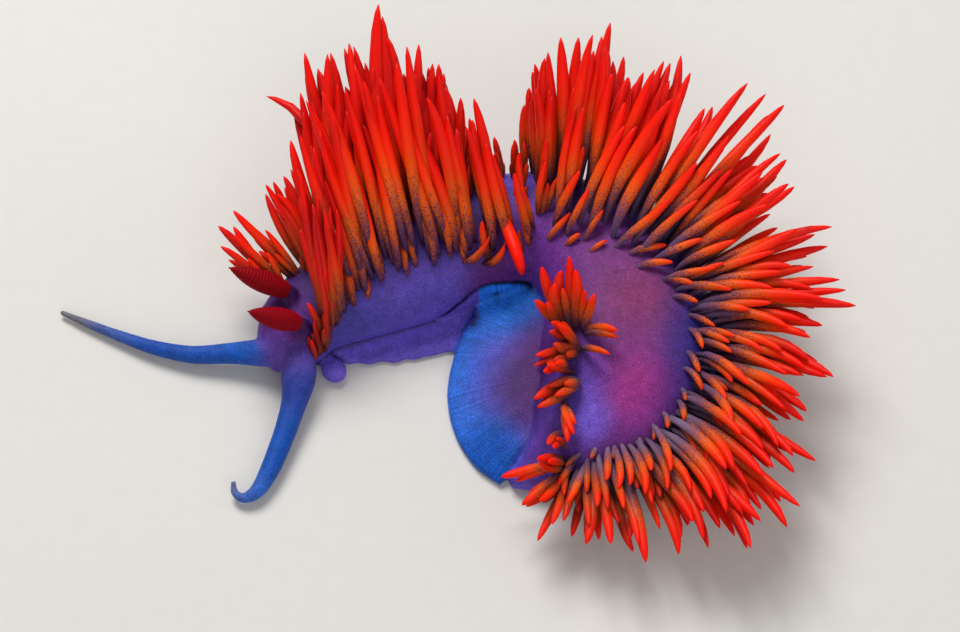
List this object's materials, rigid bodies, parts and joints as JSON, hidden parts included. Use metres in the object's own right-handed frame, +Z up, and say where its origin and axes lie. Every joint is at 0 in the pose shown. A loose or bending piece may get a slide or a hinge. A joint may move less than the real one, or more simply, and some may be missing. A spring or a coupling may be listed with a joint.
{
  "type": "spanish shawl nudibranch",
  "caption": "Life-size still model of a spanish shawl nudibranch curled on its foot, with long cerata along both sides of its back.",
  "frame": {"origin": "on the sole, under the front of the trunk", "axes": "+Z up from the floor, +X from the head towards the bend of the body, +Y away from the inside of the curl"},
  "size_m": [0.0702, 0.0483, 0.0194],
  "materials": {
    "violet_flesh": "wet satin",
    "blue_flesh": "wet satin",
    "cerata_flesh": "wet satin",
    "rhinophore_flesh": "wet satin"
  },
  "bodies": {
    "root": {"head": "violet_flesh", "oral_tentacle_left_base": "blue_flesh", "oral_tentacle_left_middle": "blue_flesh", "oral_tentacle_left_tip": "blue_flesh", "oral_tentacle_right_base": "blue_flesh", "oral_tentacle_right_middle": "blue_flesh", "oral_tentacle_right_tip": "blue_flesh", "rhinophore_left_stalk": "violet_flesh", "rhinophore_left_club": "rhinophore_flesh", "rhinophore_right_stalk": "violet_flesh", "rhinophore_right_club": "rhinophore_flesh", "trunk_front": "cerata_flesh", "trunk_middle": "cerata_flesh", "trunk_bend": "cerata_flesh", "trunk_rear": "cerata_flesh", "trunk_end": "cerata_flesh", "tail": "blue_flesh", "foot_front": "blue_flesh", "foot_middle": "blue_flesh", "foot_rear": "blue_flesh", "foot_flap": "blue_flesh", "foot_corner_left": "blue_flesh", "foot_corner_right": "blue_flesh"}
  },
  "joints": []
}
